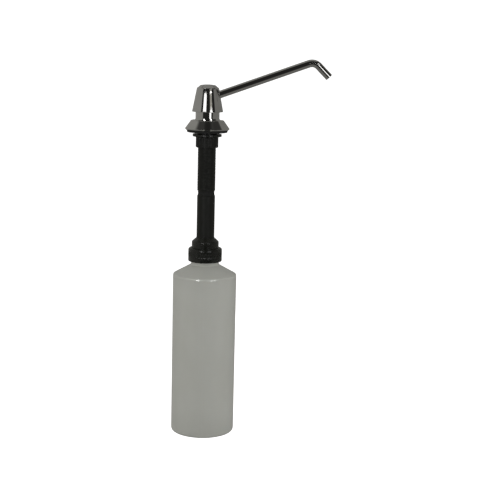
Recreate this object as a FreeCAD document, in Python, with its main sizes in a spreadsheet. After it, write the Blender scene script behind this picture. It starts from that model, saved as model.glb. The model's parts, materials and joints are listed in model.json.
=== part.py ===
"""Deck-mounted liquid soap dispenser: a push-down head with a swivelling spout above the deck, a threaded shank
through it, and a pump, a long tube and a screw-on bottle below it.

Millimetres, +Z up. The origin is on the shank's axis in the plane of the deck, at the underside of the deck gasket.
The spout points along +X.
"""

import FreeCAD, Part
import math
import os

import Sketcher
from FreeCAD import Placement, Rotation, Vector

doc = FreeCAD.newDocument("soap_dispenser")
sheet = doc.addObject("Spreadsheet::Sheet", "Sizes")


# ---------------------------------------------------------------- sizes


class Size:
    """A length or an angle: its value, and the sheet expression that gives it."""

    def __init__(self, value, text):
        self.value = float(value)
        self.text = text

    def __add__(self, other):
        other = as_size(other)
        return Size(self.value + other.value, f"({self.text} + {other.text})")

    def __sub__(self, other):
        other = as_size(other)
        return Size(self.value - other.value, f"({self.text} - {other.text})")

    def __mul__(self, other):
        other = as_size(other)
        return Size(self.value * other.value, f"({self.text} * {other.text})")

    def __truediv__(self, other):
        other = as_size(other)
        return Size(self.value / other.value, f"({self.text} / {other.text})")

    def __neg__(self):
        return Size(-self.value, f"(-1 * {self.text})")


def as_size(number):
    return number if isinstance(number, Size) else Size(number, repr(float(number)))


def cell(alias, number):
    """Writes one driving dimension to the next row of the sheet and returns it."""
    cell.row += 1
    sheet.set(f"A{cell.row}", alias)
    sheet.set(f"B{cell.row}", repr(number))
    sheet.setAlias(f"B{cell.row}", alias)
    return Size(number, f"Sizes.{alias}")


cell.row = 0


def sine(angle):
    return Size(math.sin(math.radians(angle.value)), f"sin({angle.text} * 1 deg)")


def cosine(angle):
    return Size(math.cos(math.radians(angle.value)), f"cos({angle.text} * 1 deg)")


def tangent(angle):
    return Size(math.tan(math.radians(angle.value)), f"tan({angle.text} * 1 deg)")


ZERO = Size(0, "0")

# running clearance, on the radius
slip = cell("slip_fit", 0.05)

# push-down head
travel = cell("press_travel", 9.5)
skirt_z = cell("head_skirt_height", 25.4)
skirt_r = cell("head_skirt_radius", 19.5)
brow_z = cell("head_brow_height", 54.6)
brow_r = cell("head_brow_radius", 13.9)
crown_r = cell("head_crown_radius", 9.4)
crown_z = cell("head_crown_height", 58.3)
apex_z = cell("head_apex_height", 59.2)
head_wall = cell("head_wall", 1.8)
brow_round = cell("head_brow_round", 2.2)
crown_round = cell("head_crown_round", 2.6)

# spout: a straight rise, a bend and a straight drop
spout_z = cell("spout_axis_height", 41.5)
spout_rise = cell("spout_rise_degrees", 20.25)
spout_turn = cell("spout_turn_degrees", 65.25)
spout_run = cell("spout_rising_length", 139.95)
spout_drop = cell("spout_dropping_length", 26.4)
spout_bend = cell("spout_bend_radius", 11.5)
spout_r = cell("spout_outer_radius", 4.75)
spout_bore = cell("spout_bore_radius", 3.75)
spout_root = cell("spout_root_distance", 5.5)

# hub inside the head
hub_r = cell("hub_radius", 9.5)
hub_foot_z = cell("hub_foot_height", 30.5)
hub_top_z = cell("hub_top_height", 53.0)
hub_boss_r = cell("hub_boss_radius", 6.2)
hub_boss_end = cell("hub_boss_reach", 11.0)
chamber_z = cell("chamber_top_height", 46.0)
screw_z = cell("set_screw_height", 50.0)
screw_r = cell("set_screw_radius", 2.0)

# stem and piston
stem_r = cell("stem_radius", 4.0)
stem_bore = cell("stem_bore_radius", 2.5)
stem_top_z = cell("stem_top_height", 38.8)
stem_foot_z = cell("stem_foot_height", -9.0)
clip_z = cell("clip_height", 33.1)
seal_z = cell("stem_seal_height", 36.4)
piston_foot_z = cell("piston_foot_height", -16.0)
piston_top_z = cell("piston_top_height", -2.0)
piston_r = cell("piston_radius", 5.85)
outlet_ball_r = cell("outlet_ball_radius", 2.0)
outlet_ball_z = cell("outlet_ball_height", -12.11)

# escutcheon and gasket on the deck
gasket_z = cell("deck_gasket_thickness", 3.3)
gasket_r = cell("deck_gasket_radius", 25.15)
gasket_bore = cell("deck_gasket_bore", 13.4)
flange_top_z = cell("flange_top_height", 15.1)
flange_top_r = cell("flange_top_radius", 20.4)
flange_rim_z = cell("flange_rim_height", 4.6)
flange_rim_r = cell("flange_rim_radius", 27.95)
flange_foot_r = cell("flange_foot_radius", 26.9)
flange_bore = cell("flange_bore_radius", 16.4)
ledge_z = cell("flange_ledge_height", 8.0)

# chrome collar that the head slides over
collar_r = cell("collar_radius", 15.0)
collar_top_z = cell("collar_top_height", 26.5)
collar_bore = cell("collar_bore_radius", 12.3)
collar_floor_z = cell("collar_floor_height", 18.5)
flare_r = cell("collar_flare_radius", 16.1)
flare_z = cell("collar_flare_height", 15.2)
spigot_r = cell("collar_spigot_radius", 10.35)
bush_r = cell("guide_bush_radius", 6.15)
wiper_z = cell("stem_wiper_height", 13.5)

# threaded shank, its washer and lock nut
head_top_z = cell("shank_head_top_height", 11.0)
head_r = cell("shank_head_radius", 16.1)
pilot_r = cell("shank_pilot_radius", 12.3)
pilot_top_z = cell("shank_pilot_top_height", 1.9)
pilot_z = cell("shank_pilot_foot_height", -2.2)
shank_r = cell("shank_thread_radius", 11.4)
shank_bore = cell("shank_bore_radius", 9.3)
shank_foot_z = cell("shank_foot_height", -73.4)
seat_z = cell("pump_seat_height", -2.9)
neck_seal_r = cell("neck_seal_radius", 10.6)
washer_r = cell("clamp_washer_radius", 18.2)
washer_z = cell("clamp_washer_thickness", 3.1)
nut_r = cell("lock_nut_radius", 14.15)
nut_z = cell("lock_nut_height", 13.5)

# pump below the collar, inside the shank
barrel_z = cell("pump_cylinder_top_height", 1.0)
cylinder_r = cell("pump_cylinder_radius", 8.0)
cylinder_bore = cell("pump_cylinder_bore", 6.0)
cage_z = cell("ball_cage_foot_height", -47.2)
cage_t = cell("ball_cage_thickness", 2.0)
inlet_ball_r = cell("inlet_ball_radius", 2.5)
inlet_ball_z = cell("inlet_ball_height", -51.38)
spring_r = cell("spring_coil_radius", 4.9)
spring_wire = cell("spring_wire_radius", 0.45)
spring_turns = cell("spring_turns", 8.0)
dip_r = cell("dip_tube_radius", 3.5)
dip_bore = cell("dip_tube_bore", 2.5)
dip_top_z = cell("dip_tube_top_height", -56.1)
dip_foot_z = cell("dip_tube_foot_height", -376.0)

# extension tube and bottle adapter
tube_r = cell("extension_tube_radius", 11.3)
tube_bore = cell("extension_tube_bore", 8.0)
tube_top_z = cell("extension_tube_shoulder_height", -78.8)
tube_foot_z = cell("extension_tube_foot_height", -133.2)
dome_r = cell("adapter_dome_radius", 17.1)
dome_round = cell("adapter_dome_round", 2.4)
adapter_z = cell("adapter_flange_height", -147.5)
adapter_flange_r = cell("adapter_flange_radius", 19.1)

# screw collar and bottle
ring_r = cell("bottle_collar_radius", 21.4)
ring_top_z = cell("bottle_collar_top_height", -146.0)
ring_foot_z = cell("bottle_collar_foot_height", -163.3)
ring_round = cell("bottle_collar_round", 2.6)
ring_bore = cell("bottle_collar_bore", 19.3)
liner_z = cell("bottle_gasket_thickness", 1.6)
bottle_r = cell("bottle_radius", 40.4)
bottle_wall = cell("bottle_wall", 1.2)
mouth_z = cell("bottle_mouth_height", -151.0)
neck_r = cell("bottle_neck_radius", 17.5)
neck_bore = cell("bottle_neck_bore", 15.4)
neck_foot_r = cell("bottle_neck_foot_radius", 18.6)
neck_foot_z = cell("bottle_neck_foot_height", -167.9)
shoulder_fall = cell("bottle_shoulder_degrees", 29.2)
shoulder_round = cell("bottle_shoulder_round", 3.2)
heel_round = cell("bottle_heel_round", 4.0)
bottle_foot_z = cell("bottle_foot_height", -386.3)
push_up_r = cell("bottle_push_up_radius", 31.0)
push_up_z = cell("bottle_push_up_height", 2.6)

doc.recompute()


# ---------------------------------------------------------------- building blocks


def place(body, role):
    """The origin plane or axis of a body with that role, such as XZ_Plane."""
    return next(item for item in body.Origin.OriginFeatures if item.Role == role)


def new_body(label):
    body = doc.addObject("PartDesign::Body", label)
    body.Label = label
    return body


def new_sketch(body, plane, name="section"):
    sketch = body.newObject("Sketcher::SketchObject", name)
    sketch.AttachmentSupport = [(place(body, plane), "")]
    sketch.MapMode = "FlatFace"
    return sketch


def fix(sketch, geometry, vertex, across, up):
    """Holds one point of a sketch at two distances from its origin, each bound to the sheet."""
    for kind, size, axis in (("DistanceX", across, -2), ("DistanceY", up, -1)):
        if abs(size.value) < 1e-9:
            sketch.addConstraint(Sketcher.Constraint("PointOnObject", geometry, vertex, axis))
            continue
        index = sketch.addConstraint(Sketcher.Constraint(kind, -1, 1, geometry, vertex, size.value))
        sketch.setExpression(f"Constraints[{index}]", size.text)


def outline(sketch, points):
    """A closed outline through points (across, up). A point with a third item starts a dome: an arc centred on the
    sketch's upright axis that runs to the next point."""
    count = len(points)
    corners = [(as_size(p[0]), as_size(p[1])) for p in points]
    starts, ends = [], []
    for i, (across, up) in enumerate(corners):
        to_across, to_up = corners[(i + 1) % count]
        one = Vector(across.value, up.value, 0)
        other = Vector(to_across.value, to_up.value, 0)
        if len(points[i]) == 2:
            index = sketch.addGeometry(Part.LineSegment(one, other), False)
            starts.append((index, 1))
            ends.append((index, 2))
            continue
        middle_up = (other.dot(other) - one.dot(one)) / (2 * (other.y - one.y))
        middle = Vector(0, middle_up, 0)
        first = math.atan2(one.y - middle_up, one.x)
        last = math.atan2(other.y - middle_up, other.x)
        forward = (last - first) % (2 * math.pi) < math.pi
        circle = Part.Circle(middle, Vector(0, 0, 1), (one - middle).Length)
        low, high = (first, last) if forward else (last, first)
        index = sketch.addGeometry(Part.ArcOfCircle(circle, low, high), False)
        sketch.addConstraint(Sketcher.Constraint("PointOnObject", index, 3, -2))
        starts.append((index, 1 if forward else 2))
        ends.append((index, 2 if forward else 1))
    for i in range(count):
        sketch.addConstraint(Sketcher.Constraint("Coincident", *ends[i - 1], *starts[i]))
        fix(sketch, *starts[i], *corners[i])


def disc(sketch, across, up, radius):
    """A circle in a sketch, its centre and radius bound to the sheet."""
    across, up = as_size(across), as_size(up)
    circle = Part.Circle(Vector(across.value, up.value, 0), Vector(0, 0, 1), radius.value)
    index = sketch.addGeometry(circle, False)
    fix(sketch, index, 3, across, up)
    bound = sketch.addConstraint(Sketcher.Constraint("Radius", index, radius.value))
    sketch.setExpression(f"Constraints[{bound}]", radius.text)


def turned(label, points, degrees=360.0):
    """A body turned about Z from its half section."""
    body = new_body(label)
    sketch = new_sketch(body, "XZ_Plane")
    outline(sketch, points)
    doc.recompute()
    turn = body.newObject("PartDesign::Revolution", "turning")
    turn.Profile = (sketch, [""])
    turn.ReferenceAxis = (sketch, ["V_Axis"])
    turn.Angle = degrees
    body.Tip = turn
    doc.recompute()
    return body


def edges_at(feature, radius, height):
    """Names of the round edges of that radius, centred on Z at that height."""
    radius, height = as_size(radius).value, as_size(height).value
    names = []
    for number, edge in enumerate(feature.Shape.Edges, 1):
        curve = None if edge.Degenerated else edge.Curve
        if not isinstance(curve, Part.Circle) or abs(curve.Radius - radius) > 1e-4:
            continue
        if abs(curve.Center.z - height) < 1e-4 and math.hypot(curve.Center.x, curve.Center.y) < 1e-4:
            names.append(f"Edge{number}")
    return names


def eased(body, kind, size, *rims):
    """Rounds (Fillet) or bevels (Chamfer) a body's round edges, each given as (radius, height)."""
    base = body.Tip
    names = [name for rim in rims for name in edges_at(base, *rim)]
    if len(names) < len(rims):
        raise ValueError(f"{body.Label}: an edge to ease was not found")
    feature = body.newObject(f"PartDesign::{kind}", kind.lower())
    feature.Base = (base, names)
    size = as_size(size)
    if kind == "Fillet":
        feature.Radius = size.value
        feature.setExpression("Radius", size.text)
    else:
        feature.Size = size.value
        feature.setExpression("Size", size.text)
    body.Tip = feature
    doc.recompute()
    return body


def bored(body, plane, draw, length, count=1):
    """Cuts a pocket both ways through a body from a plane, then repeats it round Z if a count is given."""
    sketch = new_sketch(body, plane, "cut")
    draw(sketch)
    doc.recompute()
    before = body.Shape.Volume
    pocket = body.newObject("PartDesign::Pocket", "pocket")
    pocket.Profile = (sketch, [""])
    pocket.Type = 0
    pocket.SideType = "Symmetric"
    pocket.Length = length
    body.Tip = pocket
    doc.recompute()
    if body.Shape.Volume > before - 1e-6:
        raise ValueError(f"{body.Label}: a pocket cuts nothing")
    if count > 1:
        pattern = body.newObject("PartDesign::PolarPattern", "pattern")
        pattern.Originals = [pocket]
        pattern.Axis = (place(body, "Z_Axis"), [""])
        pattern.Angle = 360.0
        pattern.Occurrences = count
        body.Tip = pattern
        doc.recompute()
    return body


def rod(name, radius, start, end, rise=None, height=ZERO, heading=0.0):
    """A round bar that leaves Z at a height, climbing at the rise angle, between two distances from Z."""
    bar = doc.addObject("Part::Cylinder", name)
    bar.setExpression("Radius", as_size(radius).text)
    bar.setExpression("Height", (as_size(end) - start).text)
    rise = as_size(0.0 if rise is None else rise)
    start = as_size(start)
    tilt = Rotation(Vector(0, 1, 0), 90.0 - rise.value)
    turn = Rotation(Vector(0, 0, 1), heading)
    direction = turn.multVec(tilt.multVec(Vector(0, 0, 1)))
    bar.Placement = Placement(Vector(0, 0, height.value) + direction * start.value, turn * tilt)
    side = math.cos(math.radians(heading))
    bar.setExpression("Placement.Base.x", (start * cosine(rise) * side).text)
    bar.setExpression("Placement.Base.z", (height + start * sine(rise)).text)
    return bar


def joined(name, kind, base, tool):
    """Part::Fuse or Part::Cut of two objects."""
    result = doc.addObject(f"Part::{kind}", name)
    result.Base = base
    result.Tool = tool
    result.Label = name
    doc.recompute()
    return result


def o_ring(label, middle_r, section_r, height):
    ring = doc.addObject("Part::Torus", label)
    ring.Label = label
    ring.setExpression("Radius1", as_size(middle_r).text)
    ring.setExpression("Radius2", as_size(section_r).text)
    ring.Placement = Placement(Vector(0, 0, as_size(height).value), Rotation())
    ring.setExpression("Placement.Base.z", as_size(height).text)
    return ring


def ball(label, radius, height):
    sphere = doc.addObject("Part::Sphere", label)
    sphere.Label = label
    sphere.setExpression("Radius", radius.text)
    sphere.setExpression("Placement.Base.z", height.text)
    return sphere


# ---------------------------------------------------------------- push-down head and spout


def plunger_head():
    """The chrome cap: a domed crown, a sloping brow and a conical skirt, with the spout's and the screw's holes."""
    lean = (skirt_r - brow_r) / (brow_z - skirt_z)
    shell = turned("head_shell", [
        (ZERO, apex_z, "dome"),
        (crown_r, crown_z),
        (brow_r, brow_z),
        (skirt_r, skirt_z),
        (skirt_r - head_wall, skirt_z),
        (brow_r - head_wall, brow_z - head_wall * lean),
        (crown_r - 1.0, crown_z - head_wall),
        (ZERO, crown_z - head_wall),
    ])
    eased(shell, "Fillet", crown_round, (crown_r, crown_z))
    eased(shell, "Fillet", brow_round, (brow_r, brow_z))
    eased(shell, "Fillet", 0.5, (skirt_r, skirt_z), (skirt_r - head_wall, skirt_z))
    hole = rod("head_spout_hole", spout_r + slip, hub_r, brow_r + 6.0, spout_rise, spout_z)
    tapped = rod("head_screw_hole", screw_r + 0.1, hub_r, brow_r + 6.0, height=screw_z, heading=180.0)
    drilled = joined("head_shell_drilled", "Cut", shell, hole)
    return joined("plunger_head", "Cut", drilled, tapped)


def head_insert():
    """The plastic hub that joins head, spout and stem: a swivel bore for the stem and a socket for the spout."""
    groove = clip_z + 0.9
    core = turned("hub_core", [
        (stem_r + slip, hub_foot_z),
        (hub_r, hub_foot_z),
        (hub_r, hub_top_z),
        (crown_r - 3.4, hub_top_z),
        (crown_r - 3.4, crown_z - head_wall - 0.1),
        (ZERO, crown_z - head_wall - 0.1),
        (ZERO, chamber_z),
        (stem_bore, chamber_z),
        (stem_bore, stem_top_z + 0.1),
        (stem_r + slip, stem_top_z + 0.1),
        (stem_r + slip, groove),
        (stem_r + 1.5, groove),
        (stem_r + 1.5, clip_z - 0.9),
        (stem_r + slip, clip_z - 0.9),
    ])
    eased(core, "Chamfer", 0.8, (hub_r, hub_foot_z), (hub_r, hub_top_z))
    boss = rod("hub_boss", hub_boss_r, stem_r + 2.0, hub_boss_end, spout_rise, spout_z)
    whole = joined("hub_with_boss", "Fuse", core, boss)
    cuts = [
        rod("hub_socket", spout_r + slip, spout_root - 0.05, hub_boss_end + 1.0, spout_rise, spout_z),
        rod("hub_passage", spout_bore, ZERO, spout_root, spout_rise, spout_z),
        rod("hub_seal_groove", spout_r + 0.95, spout_root + 0.9, spout_root + 2.1, spout_rise, spout_z),
        rod("hub_screw_hole", screw_r + slip, 5.0, hub_r + 1.0, height=screw_z, heading=180.0),
    ]
    for number, cut in enumerate(cuts[:-1]):
        whole = joined(f"hub_cut_{number}", "Cut", whole, cut)
    return joined("head_insert", "Cut", whole, cuts[-1])


def spout():
    """A tube swept along a rise, a bend and a drop. Its own X axis is the rise, so its body is tipped up."""
    body = new_body("spout")
    setback = spout_bend * tangent(spout_turn / 2.0)
    bend_at = spout_run - setback
    after = spout_drop - setback
    turn_x = bend_at + spout_bend * sine(spout_turn)
    turn_z = -(spout_bend * (as_size(1.0) - cosine(spout_turn)))
    tip_x = turn_x + after * cosine(spout_turn)
    tip_z = turn_z - after * sine(spout_turn)

    path = new_sketch(body, "XZ_Plane", "path")
    corners = [Vector(a.value, b.value, 0) for a, b in ((bend_at, ZERO), (turn_x, turn_z), (tip_x, tip_z))]
    rising = path.addGeometry(Part.LineSegment(Vector(spout_root.value, 0, 0), corners[0]), False)
    middle = Vector(bend_at.value, -spout_bend.value, 0)
    quarter = math.pi / 2
    circle = Part.Circle(middle, Vector(0, 0, 1), spout_bend.value)
    arc = Part.ArcOfCircle(circle, quarter - math.radians(spout_turn.value), quarter)
    bend = path.addGeometry(arc, False)
    dropping = path.addGeometry(Part.LineSegment(corners[1], corners[2]), False)
    path.addConstraint(Sketcher.Constraint("Coincident", rising, 2, bend, 2))
    path.addConstraint(Sketcher.Constraint("Coincident", bend, 1, dropping, 1))
    fix(path, rising, 1, spout_root, ZERO)
    fix(path, rising, 2, bend_at, ZERO)
    fix(path, bend, 3, bend_at, -spout_bend)
    fix(path, dropping, 2, tip_x, tip_z)
    index = path.addConstraint(Sketcher.Constraint("DistanceX", -1, 1, dropping, 1, turn_x.value))
    path.setExpression(f"Constraints[{index}]", turn_x.text)

    section = new_sketch(body, "YZ_Plane", "section")
    section.AttachmentOffset = Placement(Vector(0, 0, spout_root.value), Rotation())
    section.setExpression("AttachmentOffset.Base.z", spout_root.text)
    disc(section, ZERO, ZERO, spout_r)
    bore = new_sketch(body, "YZ_Plane", "bore")
    bore.AttachmentOffset = Placement(Vector(0, 0, spout_root.value), Rotation())
    bore.setExpression("AttachmentOffset.Base.z", spout_root.text)
    disc(bore, ZERO, ZERO, spout_bore)
    doc.recompute()
    for kind, profile in (("AdditivePipe", section), ("SubtractivePipe", bore)):
        pipe = body.newObject(f"PartDesign::{kind}", kind.lower())
        pipe.Profile = (profile, [""])
        pipe.Spine = (path, [])
        body.Tip = pipe
        doc.recompute()
    body.Placement = Placement(Vector(0, 0, spout_z.value), Rotation(Vector(0, -1, 0), spout_rise.value))
    body.setExpression("Placement.Base.z", spout_z.text)
    body.setExpression("Placement.Rotation.Angle", f"{spout_rise.text} * 1 deg")
    return body


def spout_o_ring():
    """The seal round the spout's root, in the hub's groove, square to the rising run."""
    ring = o_ring("spout_o_ring", spout_r + 0.47, 0.44, spout_z)
    along = spout_root + 1.5
    middle = Vector((along * cosine(spout_rise)).value, 0, (spout_z + along * sine(spout_rise)).value)
    ring.Placement = Placement(middle, Rotation(Vector(0, 1, 0), 90.0 - spout_rise.value))
    ring.setExpression("Placement.Base.x", (along * cosine(spout_rise)).text)
    ring.setExpression("Placement.Base.z", (spout_z + along * sine(spout_rise)).text)
    return ring


def head_set_screw():
    """A socket set screw through the back of the head into the hub, with a hexagon socket in its outer end."""
    tip, outer = as_size(5.3), as_size(13.9)
    screw = turned("head_set_screw", [
        (ZERO, tip),
        (screw_r - 0.6, tip),
        (screw_r, tip + 0.6),
        (screw_r, outer - 0.3),
        (screw_r - 0.3, outer),
        (ZERO, outer),
    ])
    sketch = new_sketch(screw, "XY_Plane", "socket")
    sketch.AttachmentOffset = Placement(Vector(0, 0, outer.value), Rotation())
    across = 1.15
    turns = [math.radians(60 * i) for i in range(6)]
    outline(sketch, [(across * math.cos(a) + 1e-6, across * math.sin(a)) for a in turns])
    doc.recompute()
    pocket = screw.newObject("PartDesign::Pocket", "socket_pocket")
    pocket.Profile = (sketch, [""])
    pocket.Length = 2.4
    screw.Tip = pocket
    screw.Placement = Placement(Vector(0, 0, screw_z.value), Rotation(Vector(0, 1, 0), -90.0))
    screw.setExpression("Placement.Base.z", screw_z.text)
    doc.recompute()
    return screw


# ---------------------------------------------------------------- plunger


def stem():
    """The hollow stem, grooved near its top for the swivel clip and the seal. Its narrowed, slotted foot stops the
    outlet ball and lets the soap past it."""
    body = turned("stem", [
        (stem_bore, stem_top_z),
        (stem_r, stem_top_z),
        (stem_r, seal_z + 1.0),
        (stem_r - 0.9, seal_z + 1.0),
        (stem_r - 0.9, seal_z - 1.0),
        (stem_r, seal_z - 1.0),
        (stem_r, clip_z + 0.7),
        (stem_r - 0.6, clip_z + 0.7),
        (stem_r - 0.6, clip_z - 0.7),
        (stem_r, clip_z - 0.7),
        (stem_r, stem_foot_z),
        (stem_bore - 1.0, stem_foot_z),
        (stem_bore - 1.0, stem_foot_z + 1.5),
        (stem_bore, stem_foot_z + 1.5),
    ])
    low, high = stem_foot_z - 1.0, stem_foot_z + 1.2
    slot = [(-0.6, low), (0.6, low), (0.6, high), (-0.6, high)]
    return bored(body, "XZ_Plane", lambda s: outline(s, slot), 20.0)


def swivel_clip():
    """An open spring ring in the stem's groove, which keeps the hub on the stem while it turns."""
    return turned("swivel_clip", [
        (stem_r - 0.55, clip_z - 0.5),
        (stem_r + 1.3, clip_z - 0.5),
        (stem_r + 1.3, clip_z + 0.5),
        (stem_r - 0.55, clip_z + 0.5),
    ], degrees=300.0)


def piston():
    """The piston on the stem's foot, with the outlet ball's chamber and cone seat and the cup seal's groove."""
    body = turned("piston", [
        (1.4, piston_foot_z),
        (piston_r, piston_foot_z),
        (piston_r, piston_foot_z + 2.6),
        (piston_r - 1.15, piston_foot_z + 2.6),
        (piston_r - 1.15, piston_foot_z + 6.4),
        (piston_r, piston_foot_z + 6.4),
        (piston_r, piston_top_z),
        (stem_r + 0.03, piston_top_z),
        (stem_r + 0.03, stem_foot_z - 0.05),
        (outlet_ball_r + 0.6, stem_foot_z - 0.05),
        (outlet_ball_r + 0.6, piston_foot_z + 3.8),
        (1.4, piston_foot_z + 2.4),
    ])
    return eased(body, "Chamfer", 0.5, (piston_r, piston_top_z), (piston_r, piston_foot_z))


def piston_seal():
    """The cup seal: a ring whose two lips open towards the pressure side below."""
    top, foot = piston_foot_z + 6.3, piston_foot_z + 2.7
    return turned("piston_seal", [
        (piston_r - 1.13, foot),
        (piston_r - 0.8, foot),
        (piston_r - 0.55, foot + 2.2),
        (piston_r - 0.25, foot),
        (cylinder_bore - 0.03, foot + 0.4),
        (piston_r - 0.1, top),
        (piston_r - 1.13, top),
    ])


# ---------------------------------------------------------------- above the deck


def escutcheon():
    """The chrome flange on the deck: a cone with a sharp rim, stepped inside for the shank's head, hollow below."""
    body = turned("escutcheon", [
        (pilot_r + 0.2, gasket_z),
        (pilot_r + 0.2, ledge_z),
        (flange_bore, ledge_z),
        (flange_bore, flange_top_z),
        (flange_top_r, flange_top_z),
        (flange_rim_r, flange_rim_z),
        (flange_rim_r, flange_rim_z - 0.3),
        (flange_foot_r, gasket_z),
        (flange_foot_r - 2.0, gasket_z),
        (flange_rim_r - 3.3, flange_rim_z - 0.2),
        (flange_top_r - 1.2, flange_top_z - 2.7),
        (flange_bore + 2.2, flange_top_z - 2.7),
        (flange_bore + 2.2, gasket_z),
    ])
    eased(body, "Fillet", 1.5, (flange_top_r, flange_top_z))
    eased(body, "Fillet", 0.12, (flange_rim_r, flange_rim_z), (flange_rim_r, flange_rim_z - 0.3))
    return eased(body, "Chamfer", 0.3, (flange_bore, flange_top_z))


def deck_gasket():
    """The rubber pad between flange and deck. Its edge spreads out under the flange's rim."""
    body = turned("deck_gasket", [
        (gasket_bore, ZERO),
        (gasket_r, ZERO),
        (gasket_r + 0.25, gasket_z - 1.5),
        (flange_foot_r - 0.2, gasket_z),
        (gasket_bore, gasket_z),
    ])
    return eased(body, "Fillet", 0.5, (gasket_r, 0.0))


def collar_sleeve():
    """The chrome collar under the head: a cup that the hub sinks into, a flared foot that fills the flange's mouth,
    and a spigot screwed into the shank."""
    body = turned("collar_sleeve", [
        (spigot_r, head_top_z),
        (flare_r, head_top_z),
        (flare_r, flare_z),
        (flare_r - 0.5, flare_z + 0.5),
        (collar_r, flare_z + 2.1),
        (collar_r, collar_top_z),
        (collar_bore, collar_top_z),
        (collar_bore, collar_floor_z),
        (bush_r + slip, collar_floor_z),
        (bush_r + slip, ledge_z),
        (cylinder_r + 0.6, ledge_z),
        (cylinder_r + 0.6, barrel_z),
        (spigot_r, barrel_z),
    ])
    eased(body, "Fillet", 0.8, (collar_r, collar_top_z))
    return eased(body, "Chamfer", 0.5, (spigot_r, barrel_z), (collar_bore, collar_top_z))


def guide_bush():
    """The plastic bush that guides the stem. Its wide foot is held between the collar and the pump cylinder, its
    nose stops the piston, and an inner groove holds the wiper ring."""
    wide_r = cylinder_r + 0.5
    body = turned("guide_bush", [
        (cylinder_bore - 0.1, piston_top_z + slip),
        (cylinder_bore - 0.1, barrel_z + slip),
        (wide_r, barrel_z + slip),
        (wide_r, ledge_z - slip),
        (bush_r, ledge_z - slip),
        (bush_r, collar_floor_z + 1.5),
        (stem_r + slip, collar_floor_z + 1.5),
        (stem_r + slip, wiper_z + 1.1),
        (stem_r + 1.5, wiper_z + 1.1),
        (stem_r + 1.5, wiper_z - 1.1),
        (stem_r + slip, wiper_z - 1.1),
        (stem_r + slip, piston_top_z + slip),
    ])
    return eased(body, "Chamfer", 0.5, (bush_r, collar_floor_z + 1.5))


# ---------------------------------------------------------------- shank and clamp


def shank():
    """The shank: a head that sits in the escutcheon, a plain pilot that fills the deck's hole, and a long screwed
    tube. The thread is drawn as a plain cylinder of its outer diameter."""
    body = turned("shank", [
        (spigot_r + slip, head_top_z),
        (head_r, head_top_z),
        (head_r, ledge_z),
        (pilot_r - 0.3, ledge_z),
        (pilot_r - 0.3, pilot_top_z),
        (pilot_r, pilot_top_z),
        (pilot_r, pilot_z),
        (shank_r, pilot_z),
        (shank_r, shank_foot_z),
        (shank_bore, shank_foot_z),
        (shank_bore, seat_z),
        (spigot_r + slip, seat_z),
    ])
    return eased(body, "Chamfer", 0.8, (shank_r, shank_foot_z))


def clamp_washer():
    body = turned("clamp_washer", [
        (shank_r + 0.3, pilot_z - washer_z),
        (washer_r, pilot_z - washer_z),
        (washer_r, pilot_z),
        (shank_r + 0.3, pilot_z),
    ])
    eased(body, "Chamfer", 0.9, (shank_r + 0.3, pilot_z))
    return eased(body, "Fillet", 0.5, (washer_r, pilot_z), (washer_r, pilot_z - washer_z))


def lock_nut():
    """The round lock nut, fluted for grip, screwed up under the washer."""
    top = pilot_z - washer_z - 0.05
    body = turned("lock_nut", [
        (shank_r + 0.15, top - nut_z),
        (nut_r, top - nut_z),
        (nut_r, top),
        (shank_r + 0.15, top),
    ])
    eased(body, "Chamfer", 0.6, (nut_r, top), (nut_r, top - nut_z))
    flute = as_size(1.1)
    return bored(body, "XY_Plane", lambda s: disc(s, nut_r + 0.55, ZERO, flute), 80.0, count=20)


# ---------------------------------------------------------------- pump


def pump_cylinder():
    """The pump barrel, hung by its flange, with the inlet ball's pocket and cone seat and the dip tube's socket."""
    seat_z = inlet_ball_z - 1.82
    return turned("pump_cylinder", [
        (cylinder_bore, barrel_z),
        (spigot_r - slip, barrel_z),
        (spigot_r - slip, barrel_z - 2.0),
        (cylinder_r, barrel_z - 2.0),
        (cylinder_r, dip_top_z + 1.0),
        (dip_r + 1.7, dip_top_z - 1.0),
        (dip_r + 1.7, dip_top_z - 10.0),
        (dip_r + slip, dip_top_z - 10.0),
        (dip_r + slip, dip_top_z + 0.1),
        (1.8, dip_top_z + 0.1),
        (1.8, seat_z),
        (inlet_ball_r + 0.8, seat_z + 2.0),
        (inlet_ball_r + 0.8, cage_z),
        (cylinder_bore, cage_z),
    ])


def cylinder_gasket():
    return turned("cylinder_gasket", [
        (cylinder_r + 0.1, seat_z),
        (spigot_r - 0.1, seat_z),
        (spigot_r - 0.1, barrel_z - 2.0),
        (cylinder_r + 0.1, barrel_z - 2.0),
    ])


def ball_cage():
    """The disc that keeps the inlet ball down and seats the spring, drilled for the soap to pass."""
    body = turned("ball_cage", [
        (inlet_ball_r - 0.9, cage_z),
        (cylinder_bore - 0.05, cage_z),
        (cylinder_bore - 0.05, cage_z + cage_t),
        (inlet_ball_r - 0.9, cage_z + cage_t),
    ])
    port = as_size(0.7)
    return bored(body, "XY_Plane", lambda s: disc(s, 2.9, ZERO, port), 120.0, count=6)


def return_spring():
    """The coil spring between the ball cage and the piston."""
    body = new_body("return_spring")
    sketch = new_sketch(body, "XZ_Plane")
    foot = cage_z + cage_t + spring_wire + 0.05
    rise = piston_foot_z - foot - spring_wire - 0.05
    disc(sketch, spring_r, foot, spring_wire)
    doc.recompute()
    helix = body.newObject("PartDesign::AdditiveHelix", "coil")
    helix.Profile = (sketch, [""])
    helix.ReferenceAxis = (sketch, ["V_Axis"])
    helix.Mode = "pitch-height-angle"
    helix.Pitch = (rise / spring_turns).value
    helix.Height = rise.value
    helix.setExpression("Pitch", (rise / spring_turns).text)
    helix.setExpression("Height", rise.text)
    body.Tip = helix
    doc.recompute()
    return body


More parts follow.
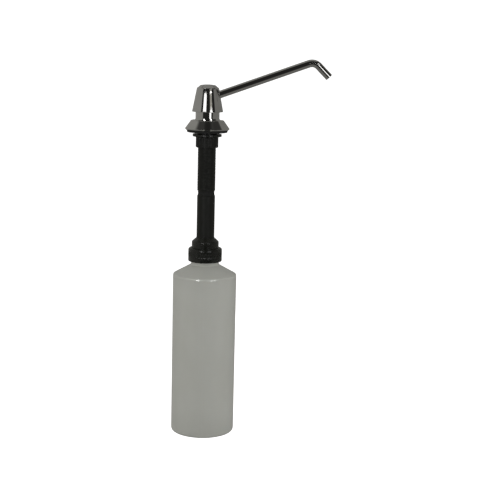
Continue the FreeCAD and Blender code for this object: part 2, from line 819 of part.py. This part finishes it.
def dip_tube():
    """The tube that reaches down to the bottle's floor, notched at its foot so that it can't seal against it."""
    body = turned("dip_tube", [
        (dip_bore, dip_foot_z),
        (dip_r, dip_foot_z),
        (dip_r, dip_top_z),
        (dip_bore, dip_top_z),
    ])
    notch = [(-3.0, dip_foot_z - 1.0), (3.0, dip_foot_z - 1.0), (1e-6, dip_foot_z + 4.0)]
    return bored(body, "XZ_Plane", lambda s: outline(s, notch), 20.0)


# ---------------------------------------------------------------- extension tube, adapter and bottle


def neck_seal():
    """The rubber ring squeezed between the shank's foot and the tube's shoulder, drawn in at its middle."""
    middle_z = (shank_foot_z + tube_top_z) / 2.0
    return turned("neck_seal", [
        (shank_bore, tube_top_z),
        (neck_seal_r, tube_top_z),
        (neck_seal_r - 0.35, middle_z),
        (neck_seal_r, shank_foot_z),
        (shank_bore, shank_foot_z),
    ])


def extension_tube():
    """The plain tube below the shank. Its upper spigot plugs into the shank through the neck seal, and its narrowed
    foot into the bottle adapter."""
    body = turned("extension_tube", [
        (tube_bore, tube_top_z + 14.0),
        (shank_bore - slip, tube_top_z + 14.0),
        (shank_bore - slip, tube_top_z),
        (tube_r, tube_top_z),
        (tube_r, tube_foot_z),
        (tube_r - 0.95, tube_foot_z),
        (tube_r - 0.95, tube_foot_z - 9.6),
        (tube_bore, tube_foot_z - 9.6),
    ])
    eased(body, "Chamfer", 0.6, (shank_bore - slip, tube_top_z + 14.0))
    return eased(body, "Chamfer", 0.7, (tube_r, tube_top_z))


def bottle_adapter():
    """The domed fitting on the tube's foot. Its flange is held against the bottle's mouth by the screw collar, and
    it is hollow below."""
    flange_foot = mouth_z + liner_z
    body = turned("bottle_adapter", [
        (tube_r - 0.9, tube_foot_z),
        (tube_r + 0.5, tube_foot_z),
        (dome_r, tube_foot_z - 4.8),
        (dome_r, adapter_z),
        (adapter_flange_r, adapter_z),
        (adapter_flange_r, flange_foot),
        (dome_r - 2.2, flange_foot),
        (dome_r - 2.2, tube_foot_z - 7.0),
        (tube_r + 1.0, tube_foot_z - 4.6),
        (tube_r + 1.0, flange_foot),
        (tube_bore + 0.2, flange_foot),
        (tube_bore + 0.2, tube_foot_z - 9.8),
        (tube_r - 0.9, tube_foot_z - 9.8),
    ])
    eased(body, "Fillet", dome_round, (dome_r, tube_foot_z - 4.8))
    return eased(body, "Fillet", 0.3, (tube_r + 0.5, tube_foot_z))


def bottle_gasket():
    return turned("bottle_gasket", [
        (neck_bore - 4.0, mouth_z),
        (adapter_flange_r - 0.3, mouth_z),
        (adapter_flange_r - 0.3, mouth_z + liner_z),
        (neck_bore - 4.0, mouth_z + liner_z),
    ])


def bottle_collar():
    """The screw collar: a lip over the adapter's flange, a round shoulder and a ribbed skirt."""
    body = turned("bottle_collar", [
        (dome_r + 0.2, ring_top_z),
        (ring_r, ring_top_z),
        (ring_r, ring_foot_z),
        (ring_bore, ring_foot_z),
        (ring_bore, adapter_z + 0.1),
        (dome_r + 0.2, adapter_z + 0.1),
    ])
    eased(body, "Fillet", ring_round, (ring_r, ring_top_z))
    return eased(body, "Fillet", 0.8, (ring_r, ring_foot_z))


def bottle():
    """The blow-moulded bottle: neck, conical shoulder, straight wall and pushed-up floor, of even thickness. The
    neck's thread is left plain."""
    fall = tangent(shoulder_fall)
    corner_z = neck_foot_z - (bottle_r - neck_foot_r) * fall
    inner_r = bottle_r - bottle_wall
    drop = bottle_wall / cosine(shoulder_fall)
    inner_corner_z = corner_z + bottle_wall * fall - drop
    inner_neck_z = neck_foot_z + (neck_foot_r - neck_bore) * fall - drop
    inner_foot_z = bottle_foot_z + bottle_wall
    body = turned("bottle", [
        (neck_bore, mouth_z),
        (neck_r, mouth_z),
        (neck_r, neck_foot_z + 0.6),
        (neck_foot_r, neck_foot_z),
        (bottle_r, corner_z),
        (bottle_r, bottle_foot_z),
        (push_up_r, bottle_foot_z, "dome"),
        (ZERO, bottle_foot_z + push_up_z),
        (ZERO, inner_foot_z + push_up_z, "dome"),
        (push_up_r, inner_foot_z),
        (inner_r, inner_foot_z),
        (inner_r, inner_corner_z),
        (neck_bore, inner_neck_z),
    ])
    eased(body, "Fillet", shoulder_round, (bottle_r, corner_z))
    eased(body, "Fillet", shoulder_round - bottle_wall, (inner_r, inner_corner_z))
    eased(body, "Fillet", heel_round, (bottle_r, bottle_foot_z))
    return eased(body, "Fillet", heel_round - bottle_wall, (inner_r, inner_foot_z))


# ---------------------------------------------------------------- assembly


PIECES = [
    plunger_head(),
    head_insert(),
    spout(),
    spout_o_ring(),
    head_set_screw(),
    stem(),
    o_ring("stem_o_ring", stem_r - 0.43, 0.45, seal_z),
    swivel_clip(),
    piston(),
    piston_seal(),
    ball("outlet_ball", outlet_ball_r, outlet_ball_z),
    escutcheon(),
    deck_gasket(),
    collar_sleeve(),
    guide_bush(),
    o_ring("stem_wiper", stem_r + 0.75, 0.71, wiper_z),
    shank(),
    clamp_washer(),
    lock_nut(),
    pump_cylinder(),
    cylinder_gasket(),
    ball_cage(),
    return_spring(),
    ball("inlet_ball", inlet_ball_r, inlet_ball_z),
    dip_tube(),
    neck_seal(),
    extension_tube(),
    bottle_adapter(),
    bottle_gasket(),
    bottle_collar(),
    bottle(),
]

doc.recompute()
for item in doc.Objects:
    if "Invalid" in item.State or "Error" in item.State:
        raise ValueError(f"{item.Label} did not build: {item.State}")
for piece in PIECES:
    if piece.Shape.isNull() or not piece.Shape.isValid() or piece.Shape.Volume <= 0:
        raise ValueError(f"{piece.Label} has no valid solid")

os.makedirs("parts", exist_ok=True)
for piece in PIECES:
    piece.Shape.exportStep(f"parts/{piece.Label}.step")
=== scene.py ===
"""Looks for the deck-mounted soap dispenser: chrome, moulded plastics and a blow-moulded bottle on
the CAD frame."""

import json
import math

import bpy
from mathutils import Matrix, Quaternion, Vector


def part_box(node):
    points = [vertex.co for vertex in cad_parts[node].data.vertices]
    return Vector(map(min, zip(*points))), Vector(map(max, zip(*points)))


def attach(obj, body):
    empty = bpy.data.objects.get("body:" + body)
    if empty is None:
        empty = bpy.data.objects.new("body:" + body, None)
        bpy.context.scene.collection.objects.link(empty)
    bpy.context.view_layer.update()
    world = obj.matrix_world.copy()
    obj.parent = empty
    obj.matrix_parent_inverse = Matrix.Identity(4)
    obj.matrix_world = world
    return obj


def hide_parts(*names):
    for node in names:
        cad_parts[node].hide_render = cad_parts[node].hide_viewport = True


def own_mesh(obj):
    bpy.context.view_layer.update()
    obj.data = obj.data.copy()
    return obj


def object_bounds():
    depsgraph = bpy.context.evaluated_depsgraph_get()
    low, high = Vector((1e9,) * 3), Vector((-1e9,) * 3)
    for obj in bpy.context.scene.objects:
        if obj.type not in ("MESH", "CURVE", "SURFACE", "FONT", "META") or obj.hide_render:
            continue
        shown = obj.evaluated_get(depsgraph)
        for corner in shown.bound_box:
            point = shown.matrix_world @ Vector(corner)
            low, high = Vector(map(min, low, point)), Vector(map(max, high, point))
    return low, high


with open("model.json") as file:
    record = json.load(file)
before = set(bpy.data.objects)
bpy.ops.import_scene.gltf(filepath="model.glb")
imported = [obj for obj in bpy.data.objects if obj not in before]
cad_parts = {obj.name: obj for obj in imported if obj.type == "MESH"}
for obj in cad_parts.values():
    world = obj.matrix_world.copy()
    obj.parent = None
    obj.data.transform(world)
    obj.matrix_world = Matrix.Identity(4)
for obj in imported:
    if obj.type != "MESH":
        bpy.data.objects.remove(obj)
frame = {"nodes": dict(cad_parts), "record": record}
cad_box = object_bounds()
nodes = frame["nodes"]

MM = 0.001
SAME = 1e-6  # radii closer than this, in mm, belong to one wall
scene = bpy.context.scene
scene.view_settings.view_transform = "Standard"


# ---------------------------------------------------------------- camera, light and floor


def camera():
    """An 85 mm lens a little above the head, looking down on the whole dispenser. The photo's head
    and bottle aren't quite on one axis, and the roll splits the difference."""
    place, down, roll = Vector((0.057, -1.478, 0.1081)), 9.83, 1.4
    data = bpy.data.cameras.new("camera")
    data.lens = 85.0
    data.sensor_width = 36.0
    cam = bpy.data.objects.new("camera", data)
    scene.collection.objects.link(cam)
    cam.matrix_world = (
        Matrix.Translation(place)
        @ Matrix.Rotation(math.radians(90.0 - down), 4, "X")
        @ Matrix.Rotation(math.radians(roll), 4, "Z")
    )
    scene.camera = cam


def direction(azimuth, elevation):
    """The unit vector towards the side that the camera is on at azimuth 0, turned to the right and
    raised."""
    a, e = math.radians(azimuth), math.radians(elevation)
    return Vector((math.sin(a) * math.cos(e), -math.cos(a) * math.cos(e), math.sin(e)))


def room():
    """A grey room for the chrome to mirror. Each zone has the way to its middle, the cosines from
    that way at its outer edge and where it is full, and a radiance."""
    walls, warm_white = 0.305, (1.0, 0.985, 0.93, 1)
    zones = {
        "right wall, a little darker": (direction(105.0, 10.0), -0.25, 0.55, 0.21),
        "below, dimmer": ((0, 0, -1), 0.30, 0.55, 0.18),
        "dark ceiling": ((0, 0, 1), 0.74, 0.84, 0.05),
        "lit part of the ceiling, towards the back": (direction(180.0, 80.0), 0.85, 0.90, 0.27),
        "dark corner high on the right": (direction(78.0, 43.0), 0.90, 0.955, 0.04),
        "dark round the camera": (direction(6.0, 18.0), 0.57, 0.65, 0.02),
    }
    world = bpy.data.worlds.new("room")
    scene.world = world
    world.use_nodes = True
    tree = world.node_tree
    tree.nodes.clear()
    out = tree.nodes.new("ShaderNodeOutputWorld")
    back = tree.nodes.new("ShaderNodeBackground")
    where = tree.nodes.new("ShaderNodeTexCoord")
    level = None
    for label, (way, edge, full, radiance) in zones.items():
        blend = tree.nodes.new("ShaderNodeMapRange")
        blend.label = label
        blend.interpolation_type = "SMOOTHSTEP"
        blend.inputs["From Min"].default_value = edge
        blend.inputs["From Max"].default_value = full
        towards = tree.nodes.new("ShaderNodeVectorMath")
        towards.operation = "DOT_PRODUCT"
        towards.inputs[1].default_value = way
        tree.links.new(where.outputs["Generated"], towards.inputs[0])
        tree.links.new(towards.outputs["Value"], blend.inputs["Value"])
        mix = tree.nodes.new("ShaderNodeMix")
        mix.inputs["A"].default_value = walls
        mix.inputs["B"].default_value = radiance
        tree.links.new(blend.outputs["Result"], mix.inputs["Factor"])
        if level is not None:
            tree.links.new(level, mix.inputs["A"])
        level = mix.outputs["Result"]
    tree.links.new(level, back.inputs["Strength"])
    back.inputs["Color"].default_value = warm_white
    tree.links.new(back.outputs[0], out.inputs["Surface"])


def sweep():
    """A pale floor that curves up into a pale wall all round, below the bottle so that it can be
    taken off. It is lit from within, like a studio light table, and stays out of the chrome's
    reflections."""
    drop, flat, bend, wall = 0.27, 3.5, 2.0, 5.0
    steps, sides = 12, 96
    low = cad_box[0].z - drop
    profile = [(flat, low)]
    for i in range(1, steps + 1):
        a = math.radians(90 * i / steps)
        profile.append((flat + bend * math.sin(a), low + bend * (1 - math.cos(a))))
    profile.append((flat + bend, low + bend + wall))
    points = [(0.0, 0.0, low)]
    for r, z in profile:
        for k in range(sides):
            a = 2 * math.pi * k / sides
            points.append((r * math.cos(a), r * math.sin(a), z))
    faces = [(0, 1 + k, 1 + (k + 1) % sides) for k in range(sides)]
    for ring in range(len(profile) - 1):
        a, b = 1 + ring * sides, 1 + (ring + 1) * sides
        for k in range(sides):
            j = (k + 1) % sides
            faces.append((a + k, b + k, b + j, a + j))
    mesh = bpy.data.meshes.new("floor")
    mesh.from_pydata(points, [], faces)
    mesh.shade_smooth()
    floor = bpy.data.objects.new("floor", mesh)
    scene.collection.objects.link(floor)
    mat = bpy.data.materials.new("floor")
    mat.use_nodes = True
    shader = mat.node_tree.nodes["Principled BSDF"]
    shader.inputs["Base Color"].default_value = (0.55, 0.55, 0.55, 1)
    shader.inputs["Roughness"].default_value = 0.9
    shader.inputs["Specular IOR Level"].default_value = 0.0
    shader.inputs["Emission Color"].default_value = (1, 1, 1, 1)
    shader.inputs["Emission Strength"].default_value = 1.1
    mesh.materials.append(mat)
    for flag in ("visible_diffuse", "visible_glossy", "visible_transmission", "visible_shadow"):
        setattr(floor, flag, False)


def softbox(name, azimuth, elevation, wide, tall, radiance, away=1.7, lean=0.0,
            colour=(1, 1, 1), mirrored=True, lit=True):
    """A rectangular light, wide by tall degrees as the dispenser's head sees it, its right end
    raised by the lean. Gloss mirrors it unless mirrored is off, and only gloss shows it if lit is
    off."""
    head = Vector((0, 0, 0.03))
    data = bpy.data.lights.new(name, "AREA")
    data.shape = "RECTANGLE"
    data.size = 2 * away * math.tan(math.radians(wide / 2))
    data.size_y = 2 * away * math.tan(math.radians(tall / 2))
    data.energy = radiance * math.pi * data.size * data.size_y
    data.color = colour
    lamp = bpy.data.objects.new(name, data)
    scene.collection.objects.link(lamp)
    way = direction(azimuth, elevation)
    lamp.location = way * away + head
    lamp.rotation_mode = "QUATERNION"
    lamp.rotation_quaternion = (way.to_track_quat("Z", "Y")
                                @ Quaternion((0, 0, 1), math.radians(lean)))
    lamp.visible_camera = False
    lamp.visible_glossy = mirrored
    lamp.visible_diffuse = lit


def chrome_lights():
    """The strips and softboxes that the chrome mirrors. Two of the strips stand close to the
    head."""
    close = 0.35
    softbox("left_strip", -20.5, 18.85, 22.0, 4.5, 1.8, away=close, lean=1.8)
    softbox("left_high_softbox", -33.0, 34.0, 12.0, 9.0, 2.6)
    softbox("right_softbox", 29.5, 6.8, 17.0, 22.3, 1.8, lean=-2.5)
    softbox("right_glow", 29.5, 19.15, 16.0, 2.35, 0.38, lean=-2.5, colour=(1.0, 0.96, 0.86))
    softbox("right_brow_strip", 30.0, 21.1, 17.0, 0.3, 3.0, away=close, lean=-2.0)
    softbox("middle_softbox", 21.0, 12.0, 9.0, 9.0, 1.8)
    softbox("right_high_softbox", 41.0, 36.2, 12.0, 5.0, 2.6)


def plastic_lights():
    """The highlights on the bottle's shoulder and the screw collar, and nothing but highlights."""
    softbox("low_left_softbox", -22.5, 2.5, 15.0, 5.0, 20.0, lit=False)
    softbox("low_right_softbox", 34.0, 2.5, 17.0, 5.0, 7.0, lit=False)


def fill_lights():
    """Broad, even light from all four sides, left out of the reflections."""
    softbox("front_fill", 2.0, 12.0, 120.0, 75.0, 0.62, mirrored=False)
    softbox("left_fill", -80.0, 8.0, 60.0, 60.0, 0.54, mirrored=False)
    softbox("right_fill", 80.0, 8.0, 60.0, 60.0, 0.70, mirrored=False)
    softbox("back_fill", 180.0, 12.0, 110.0, 70.0, 0.30, mirrored=False)


camera()
room()
sweep()
chrome_lights()
plastic_lights()
fill_lights()


# ---------------------------------------------------------------- materials


class Material:
    """A Principled material whose textures are laid out in the row frame, in metres."""

    def __init__(self, name, **values):
        self.mat = bpy.data.materials.new(name)
        self.mat.use_nodes = True
        self.tree = self.mat.node_tree
        self.shader = self.tree.nodes["Principled BSDF"]
        self.where = self.tree.nodes.new("ShaderNodeTexCoord")
        for key, value in values.items():
            self.shader.inputs[key.replace("_", " ")].default_value = value

    def link(self, output, target):
        """Links to a node's input, or to the shader's input of that name."""
        if isinstance(target, str):
            target = self.shader.inputs[target]
        self.tree.links.new(output, target)

    def noise(self, scale, detail=3.0, stretch=(1, 1, 1)):
        """Noise with features about 1/scale metres across, finer along an axis with a larger
        stretch."""
        place = self.tree.nodes.new("ShaderNodeMapping")
        place.inputs["Scale"].default_value = stretch
        self.link(self.where.outputs["Object"], place.inputs["Vector"])
        node = self.tree.nodes.new("ShaderNodeTexNoise")
        node.inputs["Scale"].default_value = scale
        node.inputs["Detail"].default_value = detail
        self.link(place.outputs[0], node.inputs["Vector"])
        return node.outputs["Fac"]

    def span(self, value, low, high, start=0.3, end=0.7):
        """value from start to end becomes low to high, smoothly."""
        node = self.tree.nodes.new("ShaderNodeMapRange")
        node.interpolation_type = "SMOOTHSTEP"
        node.inputs["From Min"].default_value = start
        node.inputs["From Max"].default_value = end
        node.inputs["To Min"].default_value = low
        node.inputs["To Max"].default_value = high
        self.link(value, node.inputs["Value"])
        return node.outputs["Result"]

    def tint(self, value, low, high, start=0.3, end=0.7):
        """value from start to end becomes the colour low to the colour high."""
        node = self.tree.nodes.new("ShaderNodeValToRGB")
        node.color_ramp.elements[0].position = start
        node.color_ramp.elements[0].color = (*low, 1)
        node.color_ramp.elements[1].position = end
        node.color_ramp.elements[1].color = (*high, 1)
        self.link(value, node.inputs["Fac"])
        return node.outputs["Color"]

    def bump(self, height, depth, after=None):
        """Bumps depth metres tall, added to an earlier bump if one is given."""
        node = self.tree.nodes.new("ShaderNodeBump")
        node.inputs["Strength"].default_value = 1.0
        node.inputs["Distance"].default_value = depth
        self.link(height, node.inputs["Height"])
        if after is not None:
            self.link(after, node.inputs["Normal"])
        self.link(node.outputs["Normal"], "Normal")
        return node.outputs["Normal"]

    def height(self):
        """The height above the deck, in metres."""
        node = self.tree.nodes.new("ShaderNodeSeparateXYZ")
        self.link(self.where.outputs["Object"], node.inputs[0])
        return node.outputs["Z"]


def chrome():
    """Bright plating: faintly uneven gloss from wiping, and a trace of ripple in the polish."""
    m = Material("chrome", Metallic=1.0)
    m.link(m.tint(m.noise(60, 4), (0.60, 0.595, 0.575), (0.66, 0.655, 0.64)), "Base Color")
    m.link(m.span(m.noise(420, 5, stretch=(1, 1, 0.3)), 0.02, 0.05), "Roughness")
    m.bump(m.noise(60, 1), 0.000012)
    return m.mat


def black_plastic(name, grain=2600.0, rough=(0.22, 0.30), stretch=(1, 1, 1), gloss=0.5):
    """Dark moulded plastic with a fine grain, a little lighter where it has been handled."""
    m = Material(name, Specular_IOR_Level=gloss)
    m.link(m.tint(m.noise(140, 4), (0.0048, 0.0054, 0.0038), (0.0082, 0.0090, 0.0064)),
           "Base Color")
    m.link(m.span(m.noise(500, 4, stretch=stretch), *rough), "Roughness")
    first = m.bump(m.noise(grain, 3), 0.00002)
    m.bump(m.noise(260, 3, stretch=stretch), 0.00003, after=first)
    return m.mat


def rubber():
    """Matt black rubber, for the gaskets and the seals."""
    m = Material("rubber")
    m.link(m.tint(m.noise(300, 4), (0.0042, 0.0044, 0.0038), (0.0085, 0.0088, 0.0078)),
           "Base Color")
    m.link(m.span(m.noise(700, 4), 0.65, 0.85), "Roughness")
    m.bump(m.noise(3000, 3), 0.00003)
    return m.mat


def white_plastic():
    """Natural white plastic, for the pump's moulded insides."""
    m = Material("white_plastic", Subsurface_Weight=0.15, Subsurface_Scale=0.002)
    m.link(m.tint(m.noise(120, 3), (0.66, 0.66, 0.62), (0.74, 0.74, 0.71)), "Base Color")
    m.link(m.span(m.noise(600, 3), 0.35, 0.48), "Roughness")
    m.bump(m.noise(1800, 2), 0.00002)
    return m.mat


def steel():
    """Turned stainless steel, with its tool marks running round the axis."""
    m = Material("steel", Metallic=1.0)
    m.link(m.tint(m.noise(200, 4), (0.50, 0.50, 0.49), (0.60, 0.60, 0.58)), "Base Color")
    m.link(m.span(m.noise(300, 5, stretch=(1, 1, 30)), 0.18, 0.34), "Roughness")
    m.bump(m.noise(200, 3, stretch=(1, 1, 40)), 0.00002)
    return m.mat


def bottle_plastic():
    """Natural polyethylene: cloudy grey, with painted shade darkening the shoulder and the heel,
    and the faint waviness of blow moulding."""
    shoulder_from, shoulder_to, heel_from, heel_to = -0.205, -0.170, -0.385, -0.345
    painted_shade_level = 0.93  # how bright the painted shade leaves the plastic at the shoulder and the heel
    m = Material("bottle_plastic", Subsurface_Weight=0.35, Subsurface_Scale=0.006,
                 Subsurface_Radius=(1.0, 1.0, 0.9), Coat_Weight=0.6, Coat_Roughness=0.06)
    cloud = m.tint(m.noise(28, 3, stretch=(1, 1, 0.6)), (0.585, 0.592, 0.535),
                   (0.612, 0.620, 0.565))
    # Painted shade: the base colour is darker at the shoulder and at the heel
    shoulder = m.span(m.height(), 1.0, painted_shade_level, start=shoulder_from, end=shoulder_to)
    heel = m.span(m.height(), painted_shade_level, 1.0, start=heel_from, end=heel_to)
    both = m.tree.nodes.new("ShaderNodeMath")
    both.operation = "MULTIPLY"
    m.link(shoulder, both.inputs[0])
    m.link(heel, both.inputs[1])
    shade = m.tree.nodes.new("ShaderNodeVectorMath")
    shade.operation = "SCALE"
    m.link(cloud, shade.inputs[0])
    m.link(both.outputs[0], shade.inputs["Scale"])
    m.link(shade.outputs[0], "Base Color")
    m.link(m.span(m.noise(70, 3), 0.30, 0.36), "Roughness")
    first = m.bump(m.noise(30, 1, stretch=(1, 1, 0.4)), 0.00012)
    m.bump(m.noise(900, 2), 0.000003, after=first)
    return m.mat


LOOKS = {
    "chrome": chrome(),
    "black_plastic": black_plastic("black_plastic"),
    "white_plastic": white_plastic(),
    "rubber": rubber(),
    "steel": steel(),
    "clear_plastic": bottle_plastic(),
}
TUBE = black_plastic("black_tube", grain=1800.0, rough=(0.40, 0.52), stretch=(1, 1, 0.06),
                     gloss=0.3)

for entry in frame["record"]["subparts"]:
    data = nodes[entry["node"]].data
    data.materials.clear()
    data.materials.append(LOOKS[entry["material_slot"]])
for name in ("extension_tube", "lock_nut"):
    nodes[name].data.materials[0] = TUBE


# ---------------------------------------------------------------- detailed pieces, in mm


def size(name):
    """A round node's radius, foot and top."""
    low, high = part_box(name)
    return (high.y - low.y) / 2 / MM, low.z / MM, high.z / MM


def run(radius, start, end, step):
    """Corners down or up a straight wall, close enough together to carry a thread."""
    count = max(1, round(abs(end - start) / step))
    return [(radius, start + (end - start) * k / count) for k in range(count + 1)]


def eased(corners, steps=6):
    """A closed outline in radius and height. A corner with a third number is rounded to that
    radius."""
    line, count = [], len(corners)
    for i, corner in enumerate(corners):
        here = Vector(corner[:2])
        if len(corner) < 3 or corner[2] <= 0:
            line.append(here)
            continue
        back = (Vector(corners[i - 1][:2]) - here).normalized()
        on = (Vector(corners[(i + 1) % count][:2]) - here).normalized()
        half = back.angle(on) / 2
        reach = corner[2] / math.tan(half)
        centre = here + (back + on).normalized() * (corner[2] / math.sin(half))
        start, end = here + back * reach - centre, here + on * reach - centre
        turn = start.angle_signed(end)
        for k in range(steps + 1):
            a = -turn * k / steps
            line.append(centre + Vector((start.x * math.cos(a) - start.y * math.sin(a),
                                         start.x * math.sin(a) + start.y * math.cos(a))))
    return line


def lathe(line, sides, wave=None):
    """Points and faces of a closed outline turned about Z. The outline runs up the inside and down
    the outside, so that the faces look outwards. wave(radius, height, angle) may shift a radius.
    On the axis one point serves all sides."""
    points, faces, index = [], [], {}
    for k in range(sides):
        a = 2 * math.pi * k / sides
        for i, p in enumerate(line):
            if k and p.x == 0.0:
                index[k, i] = index[0, i]
                continue
            index[k, i] = len(points)
            r = p.x if wave is None else wave(p.x, p.y, a)
            points.append((r * MM * math.cos(a), r * MM * math.sin(a), p.y * MM))
    for k in range(sides):
        on = (k + 1) % sides
        for i in range(len(line)):
            j = (i + 1) % len(line)
            corners = dict.fromkeys((index[k, i], index[k, j], index[on, j], index[on, i]))
            if len(corners) > 2:
                faces.append(tuple(corners))
    return points, faces


def thread(low, high, pitch, depth, crest=0.25, root=0.25, fade=1.2):
    """How far a helical thread's surface stands below its crest at (height, angle), running out at
    both ends."""
    slope = (1.0 - crest - root) / 2

    def below(z, a):
        t = (z / pitch - a / (2 * math.pi)) % 1.0
        if t < root:
            sink = 1.0
        elif t < root + slope:
            sink = 1.0 - (t - root) / slope
        elif t < root + slope + crest:
            sink = 0.0
        else:
            sink = (t - root - slope - crest) / slope
        run_in = min(1.0, max(0.0, (z - low) / fade), max(0.0, (high - z) / fade))
        return depth * sink * run_in

    return below


def finish_piece(name, points, faces, body, material, stands_for, sharp=35.0):
    """Makes a piece that rides on a body in place of one CAD node, creased at angles over sharp
    degrees."""
    mesh = bpy.data.meshes.new(name)
    mesh.from_pydata(points, [], faces)
    mesh.validate()
    mesh.shade_smooth()
    mesh.set_sharp_from_angle(angle=math.radians(sharp))
    mesh.materials.append(material)
    piece = bpy.data.objects.new(name, mesh)
    scene.collection.objects.link(piece)
    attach(piece, body)
    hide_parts(stands_for)
    return piece


def shank():
    """The shank with its thread, from under the pilot to a plain lead at the foot."""
    head, foot, top = size("shank")
    ledge, seat, pilot_top, pilot_foot = 8.0, -2.9, 1.9, -2.2
    pilot, outer, socket, bore, lead = 12.3, 11.4, 10.4, 9.3, 0.7
    upper, corner = pilot - 0.3, 0.3
    start, end = pilot_foot - 0.8, foot + 1.2
    pitch, depth, step = 2.0, 0.32, 0.2
    cut = thread(end, start, pitch, depth)

    def threaded(r, z, a):
        return r - cut(z, a) if abs(r - outer) < SAME and z < start else r

    line = eased([
        (socket, seat), (socket, top), (head, top, corner), (head, ledge, corner),
        (upper, ledge), (upper, pilot_top), (pilot, pilot_top), (pilot, pilot_foot),
        (outer, pilot_foot), *run(outer, start, end, step), (outer - lead, foot),
        (bore, foot), (bore, seat),
    ])
    points, faces = lathe(line, 96, threaded)
    finish_piece("threaded_shank", points, faces, "body", TUBE, "shank",
                 sharp=28.0)


def screw_collar():
    """The screw collar, finely ribbed for grip between its round shoulder and a plain band at the
    foot, with a groove between ribs and band."""
    outer, foot, top = size("bottle_collar")
    lip, inside, lip_foot = 17.3, 19.3, -147.4
    ribs_foot, ribs_top, groove = foot + 6.2, top - 3.8, foot + 5.5
    ribs, rib_depth, rib_fade, rib_shape, sides_per_rib = 72, 0.32, 0.8, 0.6, 8
    groove_r = outer - 0.3

    def ribbed(r, z, a):
        if r < outer - 0.05 or not ribs_foot < z < ribs_top:
            return r
        ease = min(1.0, (z - ribs_foot) / rib_fade, (ribs_top - z) / rib_fade)
        return r - rib_depth * ease * (0.5 + 0.5 * math.cos(ribs * a)) ** rib_shape

    line = eased([
        (lip, top, 0.3), (outer, top, 2.7),
        (outer, ribs_top + 0.3), (outer, ribs_top - 0.1), (outer, ribs_top - 0.8),
        *run(outer, ribs_top - 1.4, ribs_foot + 1.4, 1.6),
        (outer, ribs_foot + 0.8), (outer, ribs_foot + 0.1), (outer, groove + 0.5),
        (groove_r, groove + 0.2, 0.1), (groove_r, groove - 0.2, 0.1), (outer, groove - 0.5, 0.1),
        (outer, foot, 1.3), (inside, foot, 0.2), (inside, lip_foot), (lip, lip_foot),
    ])
    points, faces = lathe(line, ribs * sides_per_rib, ribbed)
    finish_piece("ribbed_collar", points, faces, "screw_collar",
                 LOOKS["black_plastic"], "bottle_collar")


def bottle():
    """The bottle with its neck thread, and the mould's parting line up the front and back."""
    widest, foot, mouth = size("bottle")
    seam, seam_half, wall = 0.07, 0.45, 1.2
    outer_r, inner_r = widest - seam - 0.01, widest - seam - 0.01 - wall
    neck, neck_bore, neck_foot, neck_foot_r = 17.5, 15.4, -167.9, 18.6
    slope, brow = math.tan(math.radians(29.2)), 0.4
    corner = neck_foot - (outer_r - brow - neck_foot_r) * slope
    bead_top, bead_foot = mouth - 1.2, mouth - 11.3
    bead = thread(bead_foot, bead_top, 3.2, 0.9, crest=0.30, root=0.40, fade=0.6)

    def skin(r, z, a):
        if abs(r - neck) < SAME and bead_foot < z < bead_top:
            return neck - bead(z, a)
        from_seam = abs(math.cos(a)) * r
        if r > outer_r - 1.5 and from_seam < seam_half:
            return r + seam * (1 - from_seam / seam_half)
        return r

    outside = [
        (neck_bore, mouth, 0.3), (neck, mouth, 0.4),
        *run(neck, bead_top + 0.1, bead_foot - 0.1, 0.25),
        (neck, neck_foot + 1.7, 0.3), (neck_foot_r, neck_foot, 1.2),
        (outer_r - brow, corner, 1.2), (outer_r, corner - 2.2, 3.0),
        *run(outer_r, corner - 7.0, foot + 8.0, 24.0),
        (outer_r, foot, 4.0), (31.5, foot, 1.5), (28.5, foot + 1.8, 3.0), (0.0, foot + 2.6),
    ]
    inside = [
        (0.0, foot + 3.8), (28.0, foot + 3.0, 3.0), (31.0, foot + wall, 1.0),
        (inner_r, foot + wall, 2.8), (inner_r, corner - 0.8, 2.0),
        (neck_bore, neck_foot + 0.6, 0.8),
    ]
    points, faces = lathe(eased(outside + inside), 240, skin)
    finish_piece("blown_bottle", points, faces, "bottle",
                 LOOKS["clear_plastic"], "bottle", sharp=40.0)


def return_spring():
    """The coil under the piston, a fixed helix between the foot and the top of the CAD spring."""
    coil, wire, turns, travel, gap = 4.9, 0.45, 8, 9.5, 0.05
    steps, around = 40, 10
    low, high = (corner.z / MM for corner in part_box("return_spring"))
    foot, top = low + wire, high - wire
    points = []
    for i in range(turns * steps + 1):
        a, z = 2 * math.pi * i / steps, foot + (top - foot) * i / (turns * steps)
        for k in range(around):
            b = 2 * math.pi * k / around
            r = coil + wire * math.cos(b)
            points.append((r * math.cos(a) * MM, r * math.sin(a) * MM,
                           (z + wire * math.sin(b)) * MM))
    last = turns * steps * around
    faces = [list(range(around)), [last + k for k in reversed(range(around))]]
    for i in range(0, last, around):
        for k in range(around):
            j = (k + 1) % around
            faces.append((i + k, i + around + k, i + around + j, i + j))
    piece = finish_piece("spring_coil", points, faces, "body", LOOKS["steel"],
                         "return_spring")
    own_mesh(piece)


shank()
screw_collar()
bottle()
return_spring()
